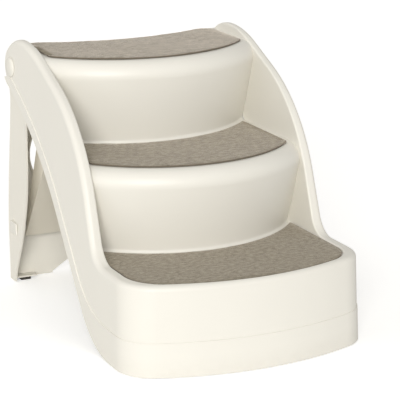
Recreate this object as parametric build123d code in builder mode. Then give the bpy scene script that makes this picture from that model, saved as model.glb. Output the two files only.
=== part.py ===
from build123d import *
import math
import os

os.makedirs("parts", exist_ok=True)

# Folding three-step pet stairs, in millimetres.
# X = 0 is the plane of symmetry, -Y is the front where the pet steps on, Z = 0 is the floor.
# The origin is on the floor under the middle of the whole object.

# Overall sizes
base_width = 446.0
foot_proud = 1.0
wall = 3.0
overrun = 40.0

# Stairs: three treads with bowed risers that lean forward over the tread below
first_tread = 150.0
rise = 151.2
going = 183.1
riser_setback = 163.4
riser_lean = 13.5
bow_margin = 86.5
nose_radius = 26.0
riser_foot_radius = 6.0
top_tread_depth = 223.5
hinge_setback = 17.2
hinge_drop = 36.8
back_bow_margin = 181.5
skirt_depth = 22.0

# Side rails: one smooth rim from the front lip up and over the hinge heads
lip_height = 154.0
rim_foot_setback = 1.1
rim_foot_radius = 45.0
rim_slope = 70.0
rim_radius = 283.0
crown_slope = 24.0
crown_radius = 218.0
crown_back_radius = 104.0
head_slope = 41.0
head_radius = 39.0
rear_slope = 23.0
rear_turn = 27.5
head_notch = 8.0
rear_radius = 630.0
rear_foot_radius = 156.0
rail_width = 18.0
rim_outer_round = 9.0
rim_inner_round = 3.2

# Outer plan: bowed front, round corners, walls that draw in towards the top
wall_draw_in = 6.5
front_draw_in = 24.0
front_bow_margin = 277.0
corner_radius = 68.0
border_relief = 1.4
border_height = 59.0
border_width = 20.0

# Floor flange and its rubber pads
flange_width = 16.0
flange_thickness = 4.0
pad_radius = 7.0
pad_height = 3.0
pad_gap = 0.2
front_pad_from_side = 103.0
side_pad_from_front = 118.0
front_pad_setback = 27.0

# Pocket of the lowest tread inside the front lip
pocket_inset = 20.0
pocket_bow_margin = 231.5
pocket_corner_radius = 70.0

# Tread mats and the hook-and-loop pads under them
mat_thickness = 2.6
tape_thickness = 0.8
tape_width = 60.0
tape_length = 25.0
tape_corner_radius = 5.0
tape_spacing = 105.0
mat_side_gap = 11.0
mat_gap = 0.6
mat_corner_radius = 22.0
mat_back_radius = 2.5
mat_back_lip = 9.0

# Hinge pins, washers, clips and caps
pin_radius = 6.0
pin_gap = 0.1
cap_gap = 0.4
pin_overhang = 4.5
pin_flange_radius = 10.0
pin_flange_thickness = 2.0
rib_thickness = 4.0
rib_radius = 15.0
washer_radius = 12.0
washer_thickness = 2.0
clip_radius = 10.0
clip_thickness = 1.5
cap_radius = 18.0
cap_height = 5.0
cap_dome = 3.4

# Rear leg
leg_side_gap = 7.0
leg_wall = 3.0
leg_depth = 109.5
hinge_from_back = 51.8
ear_radius = 34.0
leg_panel_drop = 32.6
leg_rear_shares = [(0.020, 0.0024), (0.012, 0.135), (0.0, 0.241), (0.030, 0.398), (0.115, 0.578),
                   (0.243, 0.841)]
leg_front_shares = [(0.985, 0.840), (0.950, 0.612), (0.894, 0.427), (0.760, 0.306), (0.560, 0.176),
                    (0.330, 0.060), (0.260, 0.0024)]
window_side_wall = 36.5
window_width = 170.0
window_top_wall = 52.0
window_lip = 8.0
arch_side_wall = 83.5
arch_foot_rise = 4.0
arch_shoulder_run = 20.0
arch_shoulder_rise = 17.0
arch_rise = 48.0
leg_pad_height = 5.0
leg_pad_width = 20.0
shelf_depth = 17.0
shelf_width = 42.0
boss_radius = 9.0
brace_side_gap = 23.5
brace_boss_gap = 2.0

# Brace
brace_drop = 308.0
brace_set_back = 24.8
brace_tip_rise = 41.8
brace_tip_gap = 54.4
brace_wall = 3.0
brace_panel_front = 10.0
brace_panel_foot = 19.0
brace_boss_radius = 9.0
brace_knee = 175.0
brace_knee_depth = 37.0
brace_bar_radius = 5.0
brace_rib_depth = 12.0
brace_rib_spacing = 90.0
brace_shoulder = 24.0
brace_shoulder_length = 67.0
brace_pin_radius = 4.0
brace_pin_overhang = 6.0
brace_head_length = 16.0
brace_head_width = 12.0
brace_head_thickness = 1.4
brace_pin_collar = 1.0
leg_mark_height = 0.8
leg_mark_radius = 2.5

# Catches for the brace, on the back of the upper riser
catch_from_side = 36.0
catch_thickness = 8.0
catch_gap = 1.5
catch_length = 25.0
catch_lip = 1.3
catch_lip_thickness = 5.0
catch_root = 27.2


def arc_sag(radius, x):
    """How far an arc of this radius falls back at a distance from its middle."""
    return radius - math.sqrt(radius * radius - x * x)


def arc_step(radius, start, end):
    """Run and rise of a rim arc between two slopes, with a negative radius where it turns down."""
    start = math.radians(start)
    end = math.radians(end)
    return Vector(radius * (math.sin(end) - math.sin(start)), radius * (math.cos(start) - math.cos(end)))


# Derived places across the part
floor_half_width = base_width / 2
head_half_width = floor_half_width - wall_draw_in
channel_half_width = head_half_width - rail_width
leg_half_width = head_half_width - leg_side_gap
brace_half_width = leg_half_width - brace_side_gap
catch_x = brace_half_width - catch_from_side
front_pad_x = floor_half_width - front_pad_from_side
far_x = floor_half_width + overrun

# The bows of the treads, of the front and of the pocket open out with the width
front_radius = floor_half_width + front_bow_margin
pocket_front_radius = channel_half_width + pocket_bow_margin
bow_radius = channel_half_width + bow_margin
back_bow_radius = channel_half_width + back_bow_margin

# Derived places along the stair
overall_depth = riser_setback + going + top_tread_depth + hinge_setback + hinge_from_back
front_y = -overall_depth / 2
back_y = overall_depth / 2
far_y = back_y + overrun
tread_heights = [first_tread + rise * step for step in range(3)]
riser_run = rise * math.tan(math.radians(riser_lean))
nose_run = nose_radius * (math.tan(math.radians(riser_lean)) + 1 / math.cos(math.radians(riser_lean)))
foot_run = riser_foot_radius / math.tan(math.radians((90 - riser_lean) / 2))
riser_ys = [front_y + riser_setback + going * step for step in range(2)]
top_back_y = riser_ys[1] + top_tread_depth
rim_foot_y = riser_ys[0] + rim_foot_setback
hinge_y = back_y - hinge_from_back
hinge_z = tread_heights[2] - hinge_drop

# The two straight stretches of the rim are as long as it takes to reach the hinge head
rim_arcs = (arc_step(rim_foot_radius, 0, rim_slope) + arc_step(-rim_radius, rim_slope, crown_slope)
            + arc_step(-crown_radius, crown_slope, 0) + arc_step(-crown_back_radius, 0, -head_slope))
head_centre = Vector(0, -head_radius).rotate(Axis.Z, -head_slope)
rim_left = Vector(hinge_y - rim_foot_y, hinge_z - lip_height) - rim_arcs - head_centre
steep = Vector(1, 0).rotate(Axis.Z, rim_slope)
gentle = Vector(1, 0).rotate(Axis.Z, crown_slope)
rim_straight = rim_left.cross(gentle).Z / steep.cross(gentle).Z
crown_run = rim_left.cross(steep).Z / gentle.cross(steep).Z


def rim_path(inset):
    """The rim from the front lip to the end of the crown, drawn in by an even inset."""
    foot = JernArc((rim_foot_y, lip_height - inset), (1, 0), rim_foot_radius + inset, rim_slope)
    run = Line(foot @ 1, foot @ 1 + (foot % 1) * rim_straight)
    back = JernArc(run @ 1, run % 1, rim_radius - inset, crown_slope - rim_slope)
    slope = Line(back @ 1, back @ 1 + (back % 1) * crown_run)
    crown = JernArc(slope @ 1, slope % 1, crown_radius - inset, -crown_slope)
    crown_back = JernArc(crown @ 1, crown % 1, crown_back_radius - inset, -head_slope)
    return foot, crown_back


with BuildLine(Plane.XY) as rim_line:
    crown_end = rim_path(0)[1]
    head_arc = JernArc(crown_end @ 1, crown_end % 1, head_radius, head_slope + rear_slope - 180)

# Derived places of the leg and of the brace
leg_panel_top = hinge_z - leg_panel_drop
window_height = leg_panel_top - window_top_wall - window_width / 2
window_length = 2 * (leg_half_width - window_side_wall)
arch_foot = leg_half_width - arch_side_wall
arch_shoulder = arch_foot - arch_shoulder_run
leg_boss_end = brace_half_width + brace_boss_gap
brace_y = hinge_y + brace_set_back
brace_z = hinge_z - brace_drop
brace_tip_setback = brace_tip_gap + arc_sag(bow_radius, brace_half_width - brace_shoulder)
brace_run = brace_y - riser_ys[1] - brace_tip_setback
brace_rise = tread_heights[1] + brace_tip_rise - brace_z
brace_length = math.hypot(brace_run, brace_rise)
brace_sin = brace_run / brace_length
brace_cos = brace_rise / brace_length
brace_plane = Plane((brace_half_width, brace_y, brace_z), (0, -brace_sin, brace_cos), (-1, 0, 0))
brace_shoulder_start = brace_length - brace_shoulder_length
brace_pin_inner_x = brace_half_width - brace_pin_overhang
catch_reach = brace_tip_setback - arc_sag(bow_radius, catch_x) - catch_root
pin_inner_x = channel_half_width - pin_overhang

# Derived places of the pads
shelf_x = leg_half_width - leg_wall - shelf_width / 2
shelf_y = back_y - leg_depth * leg_rear_shares[0][0] - leg_wall - shelf_depth / 2
front_pad_y = front_y + front_pad_setback
side_pad_x = floor_half_width - border_relief - wall - flange_width / 2
side_pad_y = front_y + side_pad_from_front
pad_places = [(-front_pad_x, front_pad_y), (front_pad_x, front_pad_y),
              (-side_pad_x, side_pad_y), (side_pad_x, side_pad_y)]


def side_profile():
    """Outline of the whole body seen from the side."""
    with BuildSketch(Plane.YZ.offset(-far_x)) as profile:
        with BuildLine():
            foot, crown = rim_path(0)
            head = JernArc(crown @ 1, crown % 1, head_radius, head_slope + rear_slope + head_notch - 180)
            rear = JernArc(head @ 1, (head % 1).rotate(Axis.Z, -head_notch), rear_radius, rear_turn)
            drop = (rear @ 1).Y - foot_proud
            reach = drop / math.tan(math.radians(rear_slope + rear_turn))
            floor = Line(rear @ 1, ((rear @ 1).X - reach, foot_proud))
            bottom = Line(floor @ 1, (front_y - overrun, foot_proud))
            front = Line(bottom @ 1, (front_y - overrun, lip_height))
            Line(front @ 1, foot @ 0)
        make_face()
        fillet(profile.vertices().sort_by_distance(((floor @ 1).X, foot_proud, 0))[0], rear_foot_radius)
    return profile.sketch


def hollow_profile():
    """The same outline drawn in by the wall, open to the rear and to the floor."""
    with BuildSketch(Plane.YZ.offset(-far_x)) as profile:
        with BuildLine():
            foot, crown = rim_path(wall)
            head = JernArc(crown @ 1, crown % 1, head_radius - wall, head_slope - 90)
            rear = Line(head @ 1, ((head @ 1).X, -overrun))
            bottom = Line(rear @ 1, (front_y - overrun, -overrun))
            front = Line(bottom @ 1, (front_y - overrun, lip_height - wall))
            Line(front @ 1, foot @ 0)
        make_face()
    return profile.sketch


def plan_section(height, inset):
    """Plan of the body at one height: bowed front, round corners, open to the rear."""
    share = height / (lip_height + rise + rise)
    half = floor_half_width + (head_half_width - floor_half_width) * share - inset
    nose = front_y + front_draw_in * share + inset
    bow = front_radius - inset
    side_y = nose + bow - math.sqrt(bow * bow - half * half)
    with BuildSketch(Plane.XY.offset(height)) as section:
        with BuildLine():
            ThreePointArc((-half, side_y), (0, nose), (half, side_y))
            Polyline((half, side_y), (half, far_y), (-half, far_y), (-half, side_y))
        make_face()
        fillet(section.vertices().group_by(Axis.Y)[0], corner_radius - inset)
    return section.sketch


def envelope(inset):
    """Space inside the outer walls, from the floor to above the rails."""
    top = lip_height + rise + rise + overrun
    with BuildPart() as space:
        add(plan_section(-overrun, inset))
        add(plan_section(top, inset))
        loft(ruled=True)
    return space.part


def stair_block(inset, side, floor):
    """The stepped block under the treads, each riser with its round nose and hollow foot."""
    with BuildPart() as block:
        with BuildSketch(Plane.XY.offset(floor)):
            with Locations((0, (riser_ys[0] + far_y) / 2)):
                Rectangle(2 * side, far_y - riser_ys[0])
        extrude(amount=first_tread - inset - floor)
        for step in range(2):
            centre_y = riser_ys[step] + bow_radius
            low = tread_heights[step] - inset
            high = tread_heights[step + 1] - inset
            lean = inset / math.cos(math.radians(riser_lean))
            top_r = bow_radius - lean + inset * math.tan(math.radians(riser_lean))
            low_r = top_r - riser_run
            foot_r = low_r + foot_run + 2 * wall
            with BuildSketch(Plane.XZ.offset(-centre_y)) as section:
                with BuildLine():
                    Polyline((0, floor), (foot_r, floor), (foot_r, low), (low_r, low),
                             (top_r, high), (0, high), (0, floor))
                make_face()
                corners = section.vertices()
                fillet(corners.sort_by_distance((low_r, low, 0))[0], riser_foot_radius + inset)
                corners = section.vertices()
                fillet(corners.sort_by_distance((top_r, high, 0))[0], nose_radius - inset)
            revolve(axis=Axis((0, centre_y, 0), (0, 0, 1)))
        with BuildSketch(Plane.XY.offset(floor)):
            with Locations((0, (front_y + far_y) / 2)):
                Rectangle(2 * side, far_y - front_y)
        extrude(amount=tread_heights[2] + overrun - floor, mode=Mode.INTERSECT)
    return block.part


def back_trim(inset, low, high):
    """Space behind the concave rear edge of the top tread."""
    edge_y = top_back_y - inset
    radius = back_bow_radius + inset
    sag = radius - math.sqrt(radius * radius - floor_half_width * floor_half_width)
    with BuildPart() as space:
        with BuildSketch(Plane.XY.offset(low)):
            with BuildLine():
                side_y = edge_y + sag
                ThreePointArc((-floor_half_width, side_y), (0, edge_y), (floor_half_width, side_y))
                Polyline((floor_half_width, side_y), (floor_half_width, far_y + overrun),
                         (-floor_half_width, far_y + overrun), (-floor_half_width, side_y))
            make_face()
        extrude(amount=high - low)
    return space.part


def channel(inset):
    """Walkway between the rails, down to the lowest tread, with the rounded pocket at the front."""
    half = channel_half_width + inset
    nose = front_y + pocket_inset - inset
    bow = pocket_front_radius + inset
    side_y = nose + bow - math.sqrt(bow * bow - half * half)
    with BuildPart() as space:
        with BuildSketch(Plane.XY.offset(first_tread - inset)) as section:
            with BuildLine():
                ThreePointArc((-half, side_y), (0, nose), (half, side_y))
                Polyline((half, side_y), (half, far_y + overrun), (-half, far_y + overrun),
                         (-half, side_y))
            make_face()
            fillet(section.vertices().group_by(Axis.Y)[0], pocket_corner_radius + inset)
        extrude(amount=tread_heights[2] + overrun)
    return space.part


top_z = tread_heights[2]
solid_side = channel_half_width + 2 * wall
outer_profile = side_profile()
inner_profile = hollow_profile()
outer_space = envelope(border_relief)
inner_space = envelope(border_relief + wall)
walkway = channel(0)
walkway_skin = channel(wall)
steps = stair_block(0, solid_side, first_tread - 2 * wall)
steps_hollow = stair_block(wall, floor_half_width, -overrun)
behind = back_trim(0, -overrun, top_z + overrun)
behind_skirt = back_trim(wall, top_z - skirt_depth, top_z + overrun)


def border_profile():
    """Side view of the raised border that follows the rear edge and wraps round the front."""
    with BuildSketch(Plane.YZ.offset(-far_x)) as profile:
        with BuildLine():
            start = head_arc @ 1 + (head_arc % 1).rotate(Axis.Z, -90) * border_width
            crease = JernArc(start, head_arc % 1, rear_radius + border_width, rear_turn)
            reach = ((crease @ 1).Y - border_height) / math.tan(math.radians(rear_slope + rear_turn))
            Polyline(crease @ 1, ((crease @ 1).X - reach, border_height),
                     (front_y - overrun, border_height), (front_y - overrun, foot_proud),
                     (far_y, foot_proud), (far_y, (head_arc @ 1).Y), crease @ 0)
        make_face()
        turn = profile.vertices().sort_by_distance(((crease @ 1).X - reach, border_height, 0))[0]
        fillet(turn, rear_foot_radius)
    return profile.sketch


crease_profile = border_profile()
border_space = envelope(0)
border_back = envelope(border_relief + wall / 3)
flange_back = envelope(border_relief + wall + flange_width)


def behind_head(profile):
    """Space over and behind the round hinge heads, outside a side profile."""
    with BuildPart() as space:
        with BuildSketch(Plane.XY.offset(-overrun)):
            with Locations((0, (crown_end @ 0).X + far_y)):
                Rectangle(2 * far_x, 2 * far_y)
        extrude(amount=top_z + 2 * overrun)
        extrude(profile, amount=2 * far_x, mode=Mode.SUBTRACT)
    return space.part


# Space inside the skin, open underneath and at the rear
with BuildPart() as hollow:
    extrude(inner_profile, amount=2 * far_x)
    add(walkway_skin, mode=Mode.SUBTRACT)
    add(steps_hollow - behind_skirt - behind_head(inner_profile))
    add(inner_space, mode=Mode.INTERSECT)

# Raised border along the rear edges and low round the front
with BuildPart() as border:
    extrude(crease_profile, amount=2 * far_x)
    extrude(outer_profile, amount=2 * far_x, mode=Mode.INTERSECT)
    add(border_space, mode=Mode.INTERSECT)
    add(border_back, mode=Mode.SUBTRACT)

# Floor flange inside the walls
with BuildPart() as flange:
    extrude(outer_profile, amount=2 * far_x)
    add(inner_space, mode=Mode.INTERSECT)
    add(flange_back, mode=Mode.SUBTRACT)
    with BuildSketch(Plane.XY.offset(foot_proud)):
        Rectangle(2 * far_x, 2 * far_y)
    extrude(amount=flange_thickness, mode=Mode.INTERSECT)


def on_rim(edge):
    """True for an edge of the rim, from the front lip to the end of the hinge head."""
    middle = edge @ 0.5
    below_lip = middle.Z < lip_height - pad_gap
    rear = middle.Y > riser_ys[0] + going / 2 and middle.Z < hinge_z - head_radius
    across = abs(middle.X) < pad_gap and middle.Y > front_y + pocket_inset + wall
    return not (below_lip or rear or across)


def in_pocket(edge):
    """True for a rim edge that borders the walkway."""
    middle = edge @ 0.5
    inside = abs(middle.X) < channel_half_width + pad_gap and middle.Y > pocket_y - wall / 2
    return on_rim(edge) and inside


pocket_y = front_y + pocket_inset

# Ribs with hooked ends behind the upper riser, where the brace's bar bears
catch_space = stair_block(wall / 2, floor_half_width, -overrun)
with BuildPart() as catches:
    for centre in (-catch_x, catch_x):
        start = brace_half_width - centre - catch_thickness / 2
        face = -brace_panel_front - catch_gap
        tip = brace_length + brace_bar_radius + catch_gap
        with BuildSketch(brace_plane.offset(start)):
            with BuildLine():
                Polyline((brace_length - catch_length, face), (tip, face),
                         (tip, catch_lip - brace_panel_front),
                         (tip + catch_lip_thickness, catch_lip - brace_panel_front),
                         (tip + catch_lip_thickness, -brace_panel_front - catch_reach),
                         (brace_length - catch_length, -brace_panel_front - catch_reach),
                         (brace_length - catch_length, face))
            make_face()
        extrude(amount=catch_thickness)
    add(catch_space, mode=Mode.INTERSECT)

# Ribs under the top tread that carry the inner ends of the hinge pins
with BuildPart() as hinge_ribs:
    for rib_x in (channel_half_width - rib_thickness / 2, -channel_half_width - rib_thickness / 2):
        with BuildSketch(Plane.YZ.offset(rib_x)):
            with Locations((hinge_y, hinge_z)):
                Circle(rib_radius)
            with Locations((hinge_y, (hinge_z + tread_heights[2] - wall / 2) / 2)):
                Rectangle(2 * rib_radius, tread_heights[2] - wall / 2 - hinge_z)
        extrude(amount=rib_thickness)

# Stair shell: one moulded skin with hollow rails
with BuildPart() as stair_shell:
    extrude(outer_profile, amount=2 * far_x)
    add(outer_space, mode=Mode.INTERSECT)
    fillet([edge for edge in stair_shell.edges() if on_rim(edge)], rim_outer_round)
    add(walkway, mode=Mode.SUBTRACT)
    fillet([edge for edge in stair_shell.edges() if in_pocket(edge)], rim_inner_round)
    add(steps - behind - behind_head(outer_profile))
    add(hollow.part, mode=Mode.SUBTRACT)
    add(border.part)
    add(flange.part)
    add(catches.part)
    add(hinge_ribs.part)
    with BuildSketch(Plane.YZ.offset(-far_x)):
        with Locations((hinge_y, hinge_z)):
            Circle(pin_radius + pin_gap)
    extrude(amount=2 * far_x, mode=Mode.SUBTRACT)
    with BuildSketch(Plane.XY.offset(foot_proud)):
        with Locations(*pad_places):
            Circle(pad_radius + pad_gap)
    extrude(amount=pad_height - foot_proud, mode=Mode.SUBTRACT)


def leg_rear_points(shift):
    """Points of the leg's bowed rear edge, from the floor up."""
    return [(back_y - leg_depth * back - shift, hinge_z * up) for back, up in leg_rear_shares]


def leg_outline():
    """Side view of the leg, with its round ear at the hinge."""
    front_points = [(back_y - leg_depth * back, hinge_z * up) for back, up in leg_front_shares]
    with BuildSketch(Plane.YZ.offset(-leg_half_width)) as outline:
        with BuildLine():
            rear_edge = Spline(leg_rear_points(0))
            front_edge = Spline(front_points)
            ear_rear = Line(rear_edge @ 1, (hinge_y + ear_radius, hinge_z))
            ear = JernArc(ear_rear @ 1, (0, 1), ear_radius, 180)
            Line(ear @ 1, front_edge @ 0)
            Line(front_edge @ 1, rear_edge @ 0)
        make_face()
    return outline.sketch


def leg_inside(depth):
    """Side view of the space in front of the leg's rear panel."""
    with BuildSketch(Plane.YZ.offset(leg_wall - leg_half_width)) as space:
        with BuildLine():
            inside = Spline(leg_rear_points(depth))
            Polyline(inside @ 1, (hinge_y + ear_radius + wall, hinge_z + 2 * ear_radius),
                     (hinge_y - 2 * leg_depth, hinge_z + 2 * ear_radius),
                     (hinge_y - 2 * leg_depth, -overrun), ((inside @ 0).X, -overrun), inside @ 0)
        make_face()
    return space.sketch


leg_side = leg_outline()
leg_space = leg_inside(leg_wall)
ring_space = leg_inside(leg_wall + window_lip)

# Turned-in rim of the leg's window
with BuildPart() as window_ring:
    extrude(leg_side, amount=2 * leg_half_width)
    extrude(ring_space, amount=2 * (leg_half_width - leg_wall), mode=Mode.SUBTRACT)
    with BuildSketch(Plane.XZ.offset(-back_y - overrun)):
        with Locations((0, window_height)):
            SlotOverall(window_length + 2 * leg_wall, window_width + 2 * leg_wall)
    extrude(amount=2 * leg_depth, mode=Mode.INTERSECT)

# Rear leg: an open tray with a round-ended window and an arch at the floor
with BuildPart() as rear_leg:
    extrude(leg_side, amount=2 * leg_half_width)
    extrude(leg_space, amount=2 * (leg_half_width - leg_wall), mode=Mode.SUBTRACT)
    with BuildSketch(Plane.XY.offset(leg_panel_top)):
        Rectangle(2 * (leg_half_width - leg_wall), 2 * far_y)
    extrude(amount=hinge_z, mode=Mode.SUBTRACT)
    add(window_ring.part)
    with BuildSketch(Plane.XZ.offset(-back_y - overrun)):
        with Locations((0, window_height)):
            SlotOverall(window_length, window_width)
    extrude(amount=leg_depth, mode=Mode.SUBTRACT)
    with BuildSketch(Plane.XZ.offset(-back_y - overrun)):
        with BuildLine():
            Polyline((arch_foot, -overrun), (arch_foot, arch_foot_rise),
                     (arch_shoulder, arch_shoulder_rise))
            ThreePointArc((arch_shoulder, arch_shoulder_rise), (0, arch_rise),
                          (-arch_shoulder, arch_shoulder_rise))
            Polyline((-arch_shoulder, arch_shoulder_rise), (-arch_foot, arch_foot_rise),
                     (-arch_foot, -overrun), (arch_foot, -overrun))
        make_face()
    extrude(amount=2 * leg_depth, mode=Mode.SUBTRACT)
    with BuildSketch(Plane.XY.offset(leg_pad_height)):
        with Locations((shelf_x, shelf_y + leg_wall / 2), (-shelf_x, shelf_y + leg_wall / 2)):
            Rectangle(shelf_width + leg_wall, shelf_depth + leg_wall)
    extrude(amount=leg_wall)
    for side_x in (leg_boss_end, -leg_half_width + leg_wall / 2):
        with BuildSketch(Plane.YZ.offset(side_x)):
            with Locations((brace_y, brace_z)):
                Circle(boss_radius)
        extrude(amount=leg_half_width - leg_boss_end - leg_wall / 2)
    with BuildSketch(Plane.YZ.offset(-far_x)):
        with Locations((brace_y, brace_z)):
            Circle(brace_pin_radius + pin_gap)
        with Locations((hinge_y, hinge_z)):
            Circle(pin_radius + pin_gap)
    extrude(amount=2 * far_x, mode=Mode.SUBTRACT)
    for side_x in (leg_half_width - leg_wall / 2, -leg_half_width - leg_mark_height):
        with BuildSketch(Plane.YZ.offset(side_x)):
            with Locations((brace_y, brace_z + brace_head_length)):
                Circle(leg_mark_radius)
            with Locations((brace_y, brace_z - brace_head_length + leg_mark_radius / 2)):
                SlotOverall(brace_head_width, leg_mark_radius)
        extrude(amount=leg_wall / 2 + leg_mark_height)

# Brace: a sloping tray whose side flanges widen upwards, with a round bar along its top edge
with BuildPart() as brace:
    with BuildSketch(brace_plane):
        with BuildLine():
            Polyline((-brace_panel_foot, -brace_panel_front), (brace_length, -brace_panel_front),
                     (brace_length, brace_wall - brace_panel_front), (brace_knee, brace_knee_depth),
                     (0, 0), (-brace_panel_foot, -brace_panel_front))
        make_face()
        Circle(brace_boss_radius)
    extrude(amount=2 * brace_half_width)
    with BuildSketch(brace_plane.offset(brace_wall)):
        tray_height = brace_knee_depth - brace_panel_front + brace_wall + overrun / 2
        with Locations((brace_length / 2, tray_height)):
            Rectangle(2 * brace_length, 2 * brace_knee_depth + overrun)
    extrude(amount=2 * (brace_half_width - brace_wall), mode=Mode.SUBTRACT)
    rib_start = brace_half_width - brace_wall / 2
    for rib_x in (-brace_rib_spacing, 0, brace_rib_spacing):
        with BuildSketch(brace_plane.offset(rib_start + rib_x)):
            with BuildLine():
                Polyline((brace_panel_foot, brace_wall / 2 - brace_panel_front),
                         (brace_length, brace_wall / 2 - brace_panel_front),
                         (brace_length, brace_wall - brace_panel_front),
                         (brace_length - brace_rib_depth, brace_rib_depth - brace_panel_front),
                         (brace_panel_foot + brace_rib_depth, brace_rib_depth - brace_panel_front),
                         (brace_panel_foot, brace_wall / 2 - brace_panel_front))
            make_face()
        extrude(amount=brace_wall)
    with BuildSketch(brace_plane):
        with Locations((brace_length, brace_bar_radius - brace_panel_front)):
            Circle(brace_bar_radius)
    extrude(amount=2 * brace_half_width)
    for start in (0, 2 * brace_half_width - brace_shoulder):
        with BuildSketch(brace_plane.offset(start)):
            with Locations((brace_shoulder_start + overrun, 0)):
                Rectangle(2 * overrun, 2 * brace_knee_depth + overrun)
            with Locations((brace_shoulder_start + 2 * overrun, 0)):
                Rectangle(2 * overrun, 2 * brace_knee_depth + overrun)
        extrude(amount=brace_shoulder, mode=Mode.SUBTRACT)
    with BuildSketch(brace_plane):
        Circle(brace_pin_radius + pin_gap)
    extrude(amount=2 * brace_half_width, mode=Mode.SUBTRACT)


def mat_plan(half, front, front_radius_here, back, back_radius):
    """Plan of a mat between two arcs that bow towards the front."""
    front_side = front + arc_sag(front_radius_here, half)
    back_side = back + arc_sag(back_radius, half)
    with BuildSketch() as plan:
        with BuildLine():
            ThreePointArc((-half, front_side), (0, front), (half, front_side))
            Line((half, front_side), (half, back_side))
            ThreePointArc((half, back_side), (0, back), (-half, back_side))
            Line((-half, back_side), (-half, front_side))
        make_face()
    return plan.sketch


# Felt mats and the hook-and-loop pads that hold them
mat_half = channel_half_width - mat_side_gap
pocket_mat_half = channel_half_width - 2 * mat_gap
nose_fronts = [riser_ys[step] + nose_run for step in range(2)]
foot_backs = [riser_ys[step] + riser_run - foot_run - mat_gap for step in range(2)]
nose_arc = bow_radius - nose_run
foot_arc = bow_radius - riser_run + foot_run + mat_gap
mat_plans = {
    "lower": (pocket_mat_half, front_y + pocket_inset + mat_gap, pocket_front_radius - mat_gap,
              foot_backs[0], foot_arc, pocket_corner_radius - mat_gap, mat_back_radius),
    "middle": (mat_half, nose_fronts[0], nose_arc, foot_backs[1], foot_arc,
               mat_corner_radius, mat_back_radius),
    "upper": (mat_half, nose_fronts[1], nose_arc, top_back_y - mat_back_lip, back_bow_radius + mat_back_lip,
              mat_corner_radius, mat_corner_radius),
}
mats = {}
tapes = {}
for step, name in enumerate(mat_plans):
    half, front, front_arc, back, back_arc, front_corner, back_corner = mat_plans[name]
    plan = mat_plan(half, front, front_arc, back, back_arc)
    with BuildPart() as mat:
        with BuildSketch(Plane.XY.offset(tread_heights[step] + tape_thickness)) as outline:
            add(plan)
            fillet(outline.vertices().group_by(Axis.Y)[0], front_corner)
            fillet(outline.vertices().group_by(Axis.Y)[-1], back_corner)
        extrude(amount=mat_thickness)
    mats[name] = mat.part
    with BuildPart() as tape:
        with BuildSketch(Plane.XY.offset(tread_heights[step])):
            with Locations((0, (front + back) / 2 + arc_sag(front_arc, tape_spacing) / 2)):
                with GridLocations(tape_spacing, tape_spacing, 3, 1):
                    RectangleRounded(tape_width, tape_length, tape_corner_radius)
        extrude(amount=tape_thickness)
    tapes[name] = tape.part

# Hinge pin of the right side: a shaft through the rib and the leg's ear, with a flange outside
drawn_in = wall_draw_in * hinge_z / (lip_height + 2 * rise)
pin_outer_x = floor_half_width - drawn_in - border_relief
with BuildPart() as pivot_pin:
    with BuildSketch(Plane.YZ.offset(pin_inner_x)):
        with Locations((hinge_y, hinge_z)):
            Circle(pin_radius)
    extrude(amount=pin_outer_x + pin_gap - pin_inner_x)
    with BuildSketch(Plane.YZ.offset(pin_outer_x + pin_gap)):
        with Locations((hinge_y, hinge_z)):
            Circle(pin_flange_radius)
    extrude(amount=pin_flange_thickness)

# Push-on clip at the pin's inner end
with BuildPart() as pivot_clip:
    with BuildSketch(Plane.YZ.offset(channel_half_width - rib_thickness / 2 - clip_thickness)):
        with Locations((hinge_y, hinge_z)):
            Circle(clip_radius)
            Circle(pin_radius, mode=Mode.SUBTRACT)
    extrude(amount=clip_thickness)

# Washer between the leg's ear and the rail wall
with BuildPart() as pivot_washer:
    with BuildSketch(Plane.YZ.offset(leg_half_width + pin_gap)):
        with Locations((hinge_y, hinge_z)):
            Circle(washer_radius)
            Circle(pin_radius, mode=Mode.SUBTRACT)
    extrude(amount=washer_thickness)

# Domed cap over the pin's flange
dome_radius = (cap_radius ** 2 + cap_dome ** 2) / (2 * cap_dome)
crown_drop = arc_sag(dome_radius, cap_radius / 2)
with BuildPart() as pivot_cap:
    with BuildSketch(Plane.XZ.offset(-hinge_y)) as section:
        with BuildLine():
            base_x = pin_outer_x + cap_gap
            recess_x = pin_outer_x + pin_gap + pin_flange_thickness
            rim_x = base_x + cap_height - cap_dome
            rim_top = Line((base_x, hinge_z + cap_radius), (rim_x, hinge_z + cap_radius))
            crown = ThreePointArc(rim_top @ 1,
                                  (base_x + cap_height - crown_drop, hinge_z + cap_radius / 2),
                                  (base_x + cap_height, hinge_z))
            Polyline(crown @ 1, (recess_x, hinge_z), (recess_x, hinge_z + pin_flange_radius + pin_gap),
                     (base_x, hinge_z + pin_flange_radius + pin_gap), rim_top @ 0)
        make_face()
    revolve(axis=Axis((0, hinge_y, hinge_z), (1, 0, 0)))

# Snap pin of the brace, with a rectangular head outside the leg
with BuildPart() as brace_pin:
    with BuildSketch(Plane.YZ.offset(brace_pin_inner_x)):
        with Locations((brace_y, brace_z)):
            Circle(brace_pin_radius)
    extrude(amount=leg_half_width - brace_pin_inner_x)
    with BuildSketch(Plane.YZ.offset(brace_pin_inner_x)):
        with Locations((brace_y, brace_z)):
            Circle(brace_pin_radius + brace_pin_collar)
    extrude(amount=brace_half_width - brace_wall - brace_pin_inner_x - pin_gap)
    with BuildSketch(Plane.YZ.offset(leg_half_width)):
        with Locations((brace_y, brace_z)):
            RectangleRounded(brace_head_width, brace_head_length, brace_pin_radius / 2)
    extrude(amount=brace_head_thickness)

# Rubber pad under the leg
with BuildPart() as leg_foot:
    with BuildSketch():
        with Locations((shelf_x, shelf_y)):
            RectangleRounded(leg_pad_width, shelf_depth - 2 * pin_gap, leg_wall)
    extrude(amount=leg_pad_height)

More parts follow.
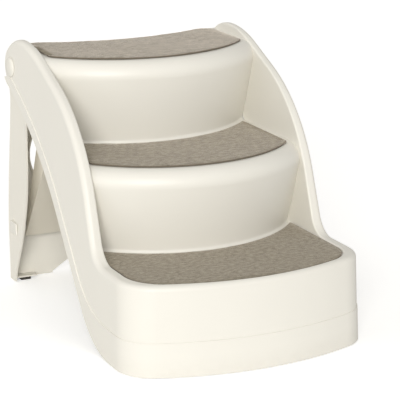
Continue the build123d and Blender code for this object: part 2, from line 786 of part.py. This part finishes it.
# Rubber pads under the floor flange
base_feet = []
for place in pad_places:
    with BuildPart() as base_foot:
        with BuildSketch():
            with Locations(place):
                Circle(pad_radius)
        extrude(amount=pad_height)
    base_feet.append(base_foot.part)


def save(piece, name):
    """Label one finished piece and write it to its own file."""
    piece.label = name
    export_step(piece, "parts/" + name + ".step")


save(stair_shell.part, "stair_shell")
save(rear_leg.part, "rear_leg")
save(brace.part, "brace")
for name in mat_plans:
    save(mats[name], "mat_" + name)
    save(tapes[name], "mat_tape_" + name)
pairs = {"pivot_pin": pivot_pin.part, "pivot_clip": pivot_clip.part, "pivot_washer": pivot_washer.part,
         "pivot_cap": pivot_cap.part, "brace_pin": brace_pin.part, "leg_foot": leg_foot.part}
for name in pairs:
    save(pairs[name], name + "_right")
    save(mirror(pairs[name], about=Plane.YZ), name + "_left")
for place, foot in zip(("front_left", "front_right", "rear_left", "rear_right"), base_feet):
    save(foot, "base_foot_" + place)
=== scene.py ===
import math

import bpy
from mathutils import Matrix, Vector


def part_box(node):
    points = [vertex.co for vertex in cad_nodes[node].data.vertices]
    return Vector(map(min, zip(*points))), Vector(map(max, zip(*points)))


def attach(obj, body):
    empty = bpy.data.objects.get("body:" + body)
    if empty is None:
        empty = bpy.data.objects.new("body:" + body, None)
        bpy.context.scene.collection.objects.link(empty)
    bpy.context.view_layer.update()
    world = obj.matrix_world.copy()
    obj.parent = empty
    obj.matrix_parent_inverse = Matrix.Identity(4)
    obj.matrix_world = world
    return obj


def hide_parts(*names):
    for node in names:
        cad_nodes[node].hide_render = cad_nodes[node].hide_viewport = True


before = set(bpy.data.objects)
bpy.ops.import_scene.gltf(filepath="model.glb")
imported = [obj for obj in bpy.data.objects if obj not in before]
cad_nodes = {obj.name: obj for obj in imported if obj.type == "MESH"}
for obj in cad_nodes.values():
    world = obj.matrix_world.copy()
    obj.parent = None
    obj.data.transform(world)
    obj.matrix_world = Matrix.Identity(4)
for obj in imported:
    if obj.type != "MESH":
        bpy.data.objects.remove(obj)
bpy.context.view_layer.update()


# Camera. It stands to the left of the stairs' front and above the top tread, and looks a little down at them
# through a long lens.
camera_place = (-1.3616, -2.9365, 1.1079)
camera_tilt = 74.46
camera_swing = -25.44
camera_focal_length = 171.8
camera_sensor_width = 36

scene = bpy.context.scene
camera_lens = bpy.data.cameras.new("camera")
camera_lens.lens = camera_focal_length
camera_lens.sensor_width = camera_sensor_width
camera = bpy.data.objects.new("camera", camera_lens)
camera.location = camera_place
camera.rotation_euler = (math.radians(camera_tilt), 0, math.radians(camera_swing))
scene.collection.objects.link(camera)
scene.camera = camera


# Studio light. The world is an even warm white tent, which the camera sees as plain white. A large soft key
# lamp stands in front of the stairs on the left, near the camera. Two weak ones light their left side and
# their back.
light_colour = (1.0, 0.985, 0.955)
tent_strength = 0.50
tent_seen_colour = (1, 1, 1, 1)
key_strength = 1.94
key_spread = 28
key_turn = (72, 0, -29)
side_strength = 0.40
side_spread = 60
side_turn = (76, 0, -95)
rear_strength = 0.22
rear_spread = 60
rear_turn = (60, 0, 200)

scene.view_settings.view_transform = "Standard"


def fill_sockets(tree, node, sources):
    """Links each socket, by name or number, to its source, or sets it where the source is a plain value."""
    for socket, source in sources.items():
        if isinstance(source, bpy.types.NodeSocket):
            tree.links.new(source, node.inputs[socket])
        else:
            node.inputs[socket].default_value = source


def add_node(tree, kind, sources):
    """A new node of this kind, with its sockets filled."""
    node = tree.nodes.new(kind)
    fill_sockets(tree, node, sources)
    return node


def seen_by_camera(tree):
    """1 where the camera looks straight at it, and 0 for all other light."""
    return add_node(tree, "ShaderNodeLightPath", {}).outputs["Is Camera Ray"]


def soft_lamp(name, strength, spread, turn):
    """A distant soft lamp that shines along its turned axis."""
    light = bpy.data.lights.new(name, "SUN")
    light.energy = strength
    light.angle = math.radians(spread)
    light.color = light_colour
    lamp = bpy.data.objects.new(name, light)
    lamp.rotation_euler = [math.radians(angle) for angle in turn]
    scene.collection.objects.link(lamp)


world = bpy.data.worlds.new("tent")
world.use_nodes = True
scene.world = world
tent = world.node_tree
tent_light = tent.nodes["Background"]
fill_sockets(tent, tent_light, {"Color": (*light_colour, 1), "Strength": tent_strength})
tent_seen = add_node(tent, "ShaderNodeBackground", {"Color": tent_seen_colour})
tent_mix = add_node(tent, "ShaderNodeMixShader", {
    0: seen_by_camera(tent), 1: tent_light.outputs[0], 2: tent_seen.outputs[0]})
fill_sockets(tent, tent.nodes["World Output"], {"Surface": tent_mix.outputs[0]})

soft_lamp("key_lamp", key_strength, key_spread, key_turn)
soft_lamp("side_lamp", side_strength, side_spread, side_turn)
soft_lamp("rear_lamp", rear_strength, rear_spread, rear_turn)


# Floor. A plain pale studio sheet under the stairs. It keeps their soft shadow, and the camera sees it
# brighter than it is lit, so that it runs out of view to white.
floor_size = 30
floor_colour = (0.88, 0.88, 0.875, 1)
floor_roughness = 0.9
floor_lift = 0.40


def new_material(name):
    """A material with Blender's plain shader, and its node tree."""
    material = bpy.data.materials.new(name)
    material.use_nodes = True
    return material, material.node_tree


bpy.ops.object.select_all(action="DESELECT")
bpy.ops.mesh.primitive_plane_add(size=floor_size, location=(0, 0, 0))
floor = bpy.context.object
floor.name = "studio_floor"
floor_paper, paper = new_material("studio_paper")
paper_shader = paper.nodes["Principled BSDF"]
fill_sockets(paper, paper_shader, {
    "Base Color": floor_colour, "Roughness": floor_roughness, "Specular IOR Level": 0})
paper_lift = add_node(paper, "ShaderNodeMath", {0: seen_by_camera(paper), 1: floor_lift})
paper_lift.operation = "MULTIPLY"
paper_glow = add_node(paper, "ShaderNodeEmission", {"Strength": paper_lift.outputs[0]})
paper_sum = add_node(paper, "ShaderNodeAddShader", {0: paper_shader.outputs[0], 1: paper_glow.outputs[0]})
fill_sockets(paper, paper.nodes["Material Output"], {"Surface": paper_sum.outputs[0]})
floor.data.materials.append(floor_paper)


# Stair body. One injection moulding in cream plastic, with bowed risers and hollow rails. Its satin skin
# has a fine spark-eroded grain, faint flow clouds, and a little floor dust low down.
shell_colour = (0.832, 0.812, 0.750)
shell_roughness = 0.42
plastic_shine = 0.42
coat_weight = 0.06
coat_roughness = 0.25
cloud_scale = 7
cloud_detail = 4
cloud_dark_share = 0.965
cloud_light_share = 1.015
speck_scale = 90
speck_detail = 6
gloss_less = 0.05
gloss_more = 0.06
dust_colour = (0.60, 0.56, 0.49)
dust_height = 0.035
dust_share = 0.30
grain_scale = 1100
grain_detail = 3
grain_strength = 0.5
grain_depth = 0.00006


def shade(colour, share):
    """The colour at this share of its brightness, with full alpha."""
    return (colour[0] * share, colour[1] * share, colour[2] * share, 1)


def object_place(tree):
    """Places on the piece, in its own metres."""
    return add_node(tree, "ShaderNodeTexCoord", {}).outputs["Object"]


def noise(tree, place, scale, detail):
    """Soft irregular noise over the piece."""
    return add_node(tree, "ShaderNodeTexNoise", {
        "Vector": place, "Scale": scale, "Detail": detail}).outputs["Fac"]


def mixed_colour(tree, share, first, second):
    """The first colour where the share is 0, the second where it is 1."""
    node = tree.nodes.new("ShaderNodeMix")
    node.data_type = "RGBA"
    fill_sockets(tree, node, {"Factor": share, "A": first, "B": second})
    return node.outputs["Result"]


def spread_out(tree, value, start, end):
    """A value from 0 to 1, spread out from start to end."""
    return add_node(tree, "ShaderNodeMapRange", {
        "Value": value, "To Min": start, "To Max": end}).outputs[0]


def relief(tree, height, strength, depth):
    """A fine relief that only the light shows."""
    return add_node(tree, "ShaderNodeBump", {
        "Height": height, "Strength": strength, "Distance": depth}).outputs[0]


def moulded_plastic(name, colour, roughness):
    """Satin moulded plastic for one group of pieces."""
    material, tree = new_material(name)
    place = object_place(tree)
    clouds = noise(tree, place, cloud_scale, cloud_detail)
    tint = mixed_colour(tree, clouds, shade(colour, cloud_dark_share), shade(colour, cloud_light_share))
    specks = noise(tree, place, speck_scale, speck_detail)
    height = add_node(tree, "ShaderNodeSeparateXYZ", {0: place}).outputs["Z"]
    low = add_node(tree, "ShaderNodeMapRange", {
        "Value": height, "From Min": 0, "From Max": dust_height, "To Min": dust_share, "To Max": 0})
    dust = add_node(tree, "ShaderNodeMath", {0: low.outputs[0], 1: specks})
    dust.operation = "MULTIPLY"
    grain = noise(tree, place, grain_scale, grain_detail)
    fill_sockets(tree, tree.nodes["Principled BSDF"], {
        "Base Color": mixed_colour(tree, dust.outputs[0], tint, (*dust_colour, 1)),
        "Roughness": spread_out(tree, specks, roughness - gloss_less, roughness + gloss_more),
        "Specular IOR Level": plastic_shine,
        "Coat Weight": coat_weight,
        "Coat Roughness": coat_roughness,
        "Normal": relief(tree, grain, grain_strength, grain_depth)})
    return material


def finish_nodes(names, material):
    """These CAD pieces take this finish."""
    for name in names:
        cad_nodes[name].data.materials.clear()
        cad_nodes[name].data.materials.append(material)


finish_nodes(["stair_shell"], moulded_plastic("shell_plastic", shell_colour, shell_roughness))


# Rear leg. A second moulding from the same plastic, a shallow tray with a round-ended window and an arch
# at the floor. It hangs on the hinge pins in the rail heads.
leg_colour = (0.825, 0.800, 0.728)
leg_roughness = 0.44

finish_nodes(["rear_leg"], moulded_plastic("leg_plastic", leg_colour, leg_roughness))


# Brace. The third moulding from the same plastic, a sloping ribbed panel between the leg and the body. It
# turns on snap pins in the leg's sides, and its top bar bears on the body's hooks.
# Its colour is the cream plastic painted darker and warmer, as painted shade for where it sits under the
# body.
brace_painted_shade_colour = (0.780, 0.735, 0.630)
brace_roughness = 0.45

finish_nodes(["brace"], moulded_plastic("brace_plastic", brace_painted_shade_colour, brace_roughness))


# Hinge caps. Round glossier mouldings, pressed over the hinge pins. Each has a short upright rim and a full
# dome, and hides the pin's flange.
cap_colour = (0.800, 0.782, 0.718)
cap_roughness = 0.36
cap_sides = 96
cap_rim_height = 0.0016
cap_dome_height = 0.0050
cap_rings = 9
cap_crown_share = 0.985
quarter_turn = 90
facing_share = 0.9
smooth_angle = 50

cap_plastic = moulded_plastic("cap_plastic", cap_colour, cap_roughness)


def select_faces(mesh, chosen):
    """Selects the faces that the test picks, and nothing else, and leaves edit mode on face select."""
    bpy.ops.object.mode_set(mode="EDIT")
    bpy.ops.mesh.select_mode(type="FACE")
    bpy.ops.mesh.select_all(action="DESELECT")
    bpy.ops.object.mode_set(mode="OBJECT")
    for face in mesh.polygons:
        face.select = chosen(face)
    bpy.ops.object.mode_set(mode="EDIT")


def seat_at_origin():
    """Leaves the active piece's place, turn and size in its mesh."""
    bpy.ops.object.transform_apply(location=True, rotation=True, scale=True)


def finish_moulding(piece, body):
    """Shades a small new moulding smooth, and gives it the caps' plastic and its body."""
    bpy.ops.object.mode_set(mode="OBJECT")
    bpy.ops.object.shade_smooth_by_angle(angle=math.radians(smooth_angle))
    piece.data.materials.append(cap_plastic)
    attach(piece, body)


def hinge_cap(name, cad_name, outwards):
    """A domed cap whose foot is where its CAD node has it, with its crown towards outwards along X."""
    low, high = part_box(cad_name)
    centre = (low + high) / 2
    radius = (high.y - low.y) / 2
    foot_x = low.x if outwards > 0 else high.x
    bpy.ops.object.select_all(action="DESELECT")
    bpy.ops.mesh.primitive_cylinder_add(
        vertices=cap_sides, radius=radius, depth=cap_rim_height, rotation=(0, math.radians(quarter_turn), 0),
        location=(foot_x + outwards * cap_rim_height / 2, centre.y, centre.z))
    cap = bpy.context.object
    cap.name = name
    seat_at_origin()
    select_faces(cap.data, lambda face: face.normal.x * outwards > facing_share)
    last_radius = radius
    last_height = 0
    for ring in range(1, cap_rings + 1):
        turn = math.asin(cap_crown_share * ring / cap_rings)
        ring_radius = radius * math.cos(turn)
        ring_height = cap_dome_height * math.sin(turn)
        bpy.ops.mesh.inset(thickness=last_radius - ring_radius)
        bpy.ops.transform.translate(value=(outwards * (ring_height - last_height), 0, 0))
        last_radius = ring_radius
        last_height = ring_height
    finish_moulding(cap, "stair")
    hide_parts(cad_name)


hinge_cap("hinge_cap_left", "pivot_cap_left", -1)
hinge_cap("hinge_cap_right", "pivot_cap_right", 1)


# Snap pins of the brace. Moulded pins through the leg's sides, each with a raised block of a head whose
# edges are broken, so that it catches the light on the leg's plain side.
head_front_reach = 0.022
head_rear_reach = 0.010
head_height = 0.021
head_rise = 0.0028
head_edge = 0.0012
head_edge_cuts = 3

finish_nodes(["brace_pin_left", "brace_pin_right"], cap_plastic)


def pin_head(name, cad_name, outwards):
    """The block over one snap pin's end, seated on the leg's side."""
    low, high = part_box(cad_name)
    leg_low, leg_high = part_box("rear_leg")
    side_x = leg_high.x if outwards > 0 else leg_low.x
    centre = (low + high) / 2
    centre.x = side_x + outwards * head_rise / 2
    centre.y += (head_rear_reach - head_front_reach) / 2
    bpy.ops.object.select_all(action="DESELECT")
    bpy.ops.mesh.primitive_cube_add(
        size=1, scale=(head_rise, head_rear_reach + head_front_reach, head_height), location=centre)
    head = bpy.context.object
    head.name = name
    seat_at_origin()
    select_faces(head.data, lambda face: face.normal.x * outwards > facing_share)
    bpy.ops.mesh.bevel(offset=head_edge, segments=head_edge_cuts, affect="EDGES")
    finish_moulding(head, "leg")


pin_head("pin_head_left", "brace_pin_left", -1)
pin_head("pin_head_right", "brace_pin_right", 1)


# Hinge pins and clips. Turned steel pins and stamped steel clips with bright zinc plating. The caps hide
# the pins' flanges, and the clips are pushed onto the pins' inner ends.
zinc_colour = (0.62, 0.63, 0.64)
zinc_dark_share = 0.9
zinc_light_share = 1.1
zinc_smoothest = 0.28
zinc_roughest = 0.42
spangle_scale = 350
spangle_randomness = 1


def cells(tree, place, scale, randomness):
    """Small cells over the piece, 0 at the middle of each and more towards its edge."""
    return add_node(tree, "ShaderNodeTexVoronoi", {
        "Vector": place, "Scale": scale, "Randomness": randomness}).outputs["Distance"]


zinc, zinc_tree = new_material("zinc_plated_steel")
zinc_spangle = cells(zinc_tree, object_place(zinc_tree), spangle_scale, spangle_randomness)
fill_sockets(zinc_tree, zinc_tree.nodes["Principled BSDF"], {
    "Metallic": 1,
    "Base Color": mixed_colour(
        zinc_tree, zinc_spangle, shade(zinc_colour, zinc_dark_share), shade(zinc_colour, zinc_light_share)),
    "Roughness": spread_out(zinc_tree, zinc_spangle, zinc_smoothest, zinc_roughest)})
finish_nodes(["pivot_pin_left", "pivot_pin_right", "pivot_clip_left", "pivot_clip_right"], zinc)


# Washers. Plain nylon rings, one on each hinge pin, between the leg's ear and the body, so that the leg
# turns without rubbing on it.
nylon_colour = (0.74, 0.73, 0.68)
nylon_roughness = 0.5

finish_nodes(
    ["pivot_washer_left", "pivot_washer_right"], moulded_plastic("nylon", nylon_colour, nylon_roughness))


# Rubber pads. Soft black rubber with a dull dusty skin. Two sit under the leg and four under the body's floor
# flange, and they keep the stairs from sliding.
rubber_colour = (0.030, 0.026, 0.022)
rubber_dark_share = 0.8
rubber_dusty_share = 1.9
rubber_smoothest = 0.62
rubber_roughest = 0.85
rubber_scale = 260
rubber_detail = 5
rubber_strength = 0.4
rubber_depth = 0.0002

rubber, rubber_tree = new_material("pad_rubber")
rubber_skin = noise(rubber_tree, object_place(rubber_tree), rubber_scale, rubber_detail)
fill_sockets(rubber_tree, rubber_tree.nodes["Principled BSDF"], {
    "Base Color": mixed_colour(
        rubber_tree, rubber_skin,
        shade(rubber_colour, rubber_dark_share), shade(rubber_colour, rubber_dusty_share)),
    "Roughness": spread_out(rubber_tree, rubber_skin, rubber_smoothest, rubber_roughest),
    "Normal": relief(rubber_tree, rubber_skin, rubber_strength, rubber_depth)})
finish_nodes([name for name in cad_nodes if name.startswith(("leg_foot", "base_foot"))], rubber)


# Hook tapes. Moulded nylon hook strips, three under each mat and glued to the treads. Their hooks hold the
# felt, and let go of it for washing.
tape_colour = (0.62, 0.60, 0.56)
tape_roughness = 0.7
hook_pitch = 0.0015
hook_randomness = 0.2
# Painted light and shade: the tape is painted lighter on the hook tops and darker in the gaps between them,
# following their relief.
hook_top_painted_light_share = 1.1
hook_gap_painted_shade_share = 0.6
hook_strength = 1
hook_depth = 0.0005

tape, tape_tree = new_material("hook_tape")
tape_hooks = cells(tape_tree, object_place(tape_tree), 1 / hook_pitch, hook_randomness)
tape_relief = add_node(tape_tree, "ShaderNodeBump", {
    "Height": tape_hooks, "Strength": hook_strength, "Distance": hook_depth})
tape_relief.invert = True
fill_sockets(tape_tree, tape_tree.nodes["Principled BSDF"], {
    "Base Color": mixed_colour(
        tape_tree, tape_hooks, shade(tape_colour, hook_top_painted_light_share), shade(tape_colour, hook_gap_painted_shade_share)),
    "Roughness": tape_roughness,
    "Normal": tape_relief.outputs[0]})
finish_nodes([name for name in cad_nodes if name.startswith("mat_tape")], tape)


# Felt mats. Die-cut needle felt in heathered greige, with a pressed edge. The edge is painted darker, as
# painted shade along the mat's thickness. Each lies on its tread and lifts off for washing, and its middle is
# never quite flat.
felt_colour = (0.244, 0.214, 0.159)
felt_light = (0.401, 0.358, 0.275)
# The mat's edge is painted in this darker colour, as painted shade along its thickness.
felt_edge_painted_shade_colour = (0.165, 0.140, 0.108)
felt_roughness = 0.92
felt_shine = 0.15
fuzz_colour = (1.0, 0.92, 0.86)
fuzz_weight = 1.0
fuzz_roughness = 0.25
fibre_scale = 900
fibre_detail = 4
fibre_twist = 0.4
heather_scale = 170
heather_detail = 5
heather_stretch = 0.60
heather_turn = 4
heather_dark_share = 0.76
heather_from = 0.76
heather_to = 1.24
felt_strength = 0.7
felt_depth = 0.0004
pressed_width = 0.0026
pressed_drop = 0.0008
upright_share = 0.5
felt_cell = 0.014
felt_wave = 0.0005
wave_radians_per_metre = (31, 27)
wave_start = (2, 1.3)
merge_reach = 0.00001
level_angle = 0.5
level_reach = 0.0001


def felt_material():
    """Heathered felt whose edge is painted darker as painted shade, read from the mat's own attribute."""
    material, tree = new_material("mat_felt")
    stretched = add_node(tree, "ShaderNodeMapping", {
        "Vector": object_place(tree),
        "Scale": (heather_stretch, 1, 1),
        "Rotation": (0, 0, math.radians(heather_turn))}).outputs[0]
    fibres = add_node(tree, "ShaderNodeTexNoise", {
        "Vector": stretched, "Scale": fibre_scale, "Detail": fibre_detail, "Distortion": fibre_twist})
    heather = noise(tree, stretched, heather_scale, heather_detail)
    blend = add_node(tree, "ShaderNodeMath", {0: fibres.outputs["Fac"], 1: heather})
    blend.operation = "ADD"
    light_yarn = add_node(tree, "ShaderNodeMapRange", {
        "Value": blend.outputs[0], "From Min": heather_from, "From Max": heather_to})
    yarn = mixed_colour(
        tree, light_yarn.outputs[0], shade(felt_colour, heather_dark_share), (*felt_light, 1))
    edge = tree.nodes.new("ShaderNodeAttribute")
    edge.attribute_name = "edge_painted_shade"
    fill_sockets(tree, tree.nodes["Principled BSDF"], {
        "Base Color": mixed_colour(tree, edge.outputs["Fac"], yarn, (*felt_edge_painted_shade_colour, 1)),
        "Roughness": felt_roughness,
        "Specular IOR Level": felt_shine,
        "Sheen Weight": fuzz_weight,
        "Sheen Roughness": fuzz_roughness,
        "Sheen Tint": (*fuzz_colour, 1),
        "Normal": relief(tree, blend.outputs[0], felt_strength, felt_depth)})
    return material


def cut_in_cells(low, high):
    """Cuts the active mat across and along, so that it has points enough to wave."""
    bpy.ops.object.mode_set(mode="EDIT")
    for axis in (0, 1):
        along = Vector([axis == 0, axis == 1, 0])
        reach = high[axis] - low[axis]
        cuts = int(reach / felt_cell)
        for cut in range(1, cuts):
            bpy.ops.mesh.select_all(action="SELECT")
            bpy.ops.mesh.bisect(plane_co=low + along * reach * cut / cuts, plane_no=along)
    bpy.ops.object.mode_set(mode="OBJECT")


def press_and_wave(mesh, top):
    """Presses the mat's edge down and marks it for the painted edge shade, and lets its middle wave a little
    below its top.
    """
    sides = set()
    for face in mesh.polygons:
        if abs(face.normal.z) < upright_share:
            sides.update(face.vertices)
    edge_shade_mark = mesh.attributes.new("edge_painted_shade", "FLOAT", "POINT")
    for vertex in mesh.vertices:
        on_edge = vertex.index in sides
        edge_shade_mark.data[vertex.index].value = 1 if on_edge else 0
        if vertex.co.z > top and on_edge:
            vertex.co.z -= pressed_drop
        elif vertex.co.z > top:
            across = math.sin(vertex.co.x * wave_radians_per_metre[0] + wave_start[0])
            along = math.cos(vertex.co.y * wave_radians_per_metre[1] + wave_start[1])
            vertex.co.z += felt_wave * (across * along - 1) / 2


def felt_mat(name, cad_name):
    """One mat, cut from the outline that its CAD solid has."""
    low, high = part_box(cad_name)
    mesh = cad_nodes[cad_name].data.copy()
    mat = bpy.data.objects.new(name, mesh)
    scene.collection.objects.link(mat)
    bpy.ops.object.select_all(action="DESELECT")
    mat.select_set(True)
    bpy.context.view_layer.objects.active = mat
    bpy.ops.object.mode_set(mode="EDIT")
    bpy.ops.mesh.select_all(action="SELECT")
    bpy.ops.mesh.remove_doubles(threshold=merge_reach)
    bpy.ops.mesh.dissolve_limited(angle_limit=math.radians(level_angle))
    bpy.ops.object.mode_set(mode="OBJECT")
    select_faces(mesh, lambda face: face.normal.z > facing_share)
    bpy.ops.mesh.inset(thickness=pressed_width)
    cut_in_cells(low, high)
    press_and_wave(mesh, high.z - level_reach)
    bpy.ops.object.shade_smooth_by_angle(angle=math.radians(smooth_angle))
    mesh.materials.clear()
    mesh.materials.append(felt)
    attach(mat, "stair")
    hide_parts(cad_name)


felt = felt_material()
felt_mat("felt_mat_lower", "mat_lower")
felt_mat("felt_mat_middle", "mat_middle")
felt_mat("felt_mat_upper", "mat_upper")
